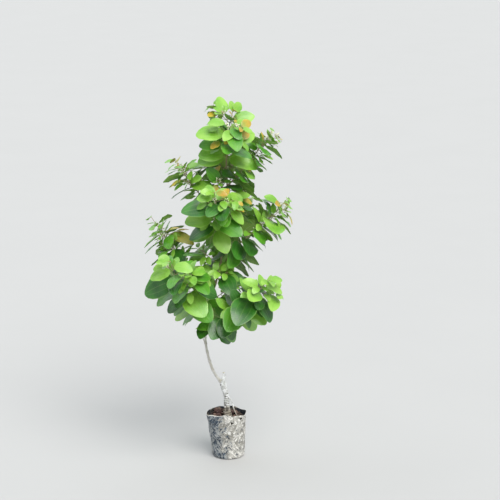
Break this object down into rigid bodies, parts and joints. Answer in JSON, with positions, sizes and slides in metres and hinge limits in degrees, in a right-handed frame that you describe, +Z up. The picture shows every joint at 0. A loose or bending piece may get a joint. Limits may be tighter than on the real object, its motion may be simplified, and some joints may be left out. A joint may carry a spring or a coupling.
{
  "type": "young grafted jujube tree in a nursery bag",
  "caption": "Young grafted jujube sapling: grey rootstock with a slanted snag, slim bowed scion and boughs with broad glossy leaves, standing in a soil-filled film bag",
  "frame": {"origin": "middle of the flat underside of the bag", "axes": "+Z up along the plant, -Y is the front that the picture shows, +X to the right of it"},
  "size_m": [0.3573, 0.3534, 0.8934],
  "materials": {
    "film": "black plastic film caked with pale dried mud",
    "soil": "crumbly dark brown potting soil with dry leaf litter",
    "bark": "grey, ringed and fissured rootstock bark",
    "young_bark": "smooth tan-brown young bark",
    "leaf": "glossy green leaves with three long veins, lime to rusty at the tips"
  },
  "bodies": {
    "root": {"nursery_bag": "film", "soil": "soil", "rootstock": "bark", "scion_stem": "young_bark", "bough_1": "young_bark", "bough_2": "young_bark", "bough_3": "young_bark", "bough_4": "young_bark", "bough_5": "young_bark", "bough_6": "young_bark", "bough_7": "young_bark", "bough_8": "young_bark", "bough_9": "young_bark", "bough_10": "young_bark", "foliage_low": "leaf", "foliage_bough_1": "leaf", "foliage_bough_2": "leaf", "foliage_bough_3": "leaf", "foliage_bough_4": "leaf", "foliage_bough_5": "leaf", "foliage_bough_6": "leaf", "foliage_bough_7": "leaf", "foliage_bough_8": "leaf", "foliage_bough_9": "leaf", "foliage_bough_10": "leaf", "foliage_stem_1": "leaf", "foliage_stem_2": "leaf", "foliage_stem_3": "leaf", "foliage_stem_4": "leaf", "foliage_stem_5": "leaf", "foliage_stem_6": "leaf", "foliage_stem_7": "leaf", "foliage_stem_8": "leaf", "foliage_stem_9": "leaf", "foliage_stem_10": "leaf", "foliage_top": "leaf"}
  },
  "joints": []
}
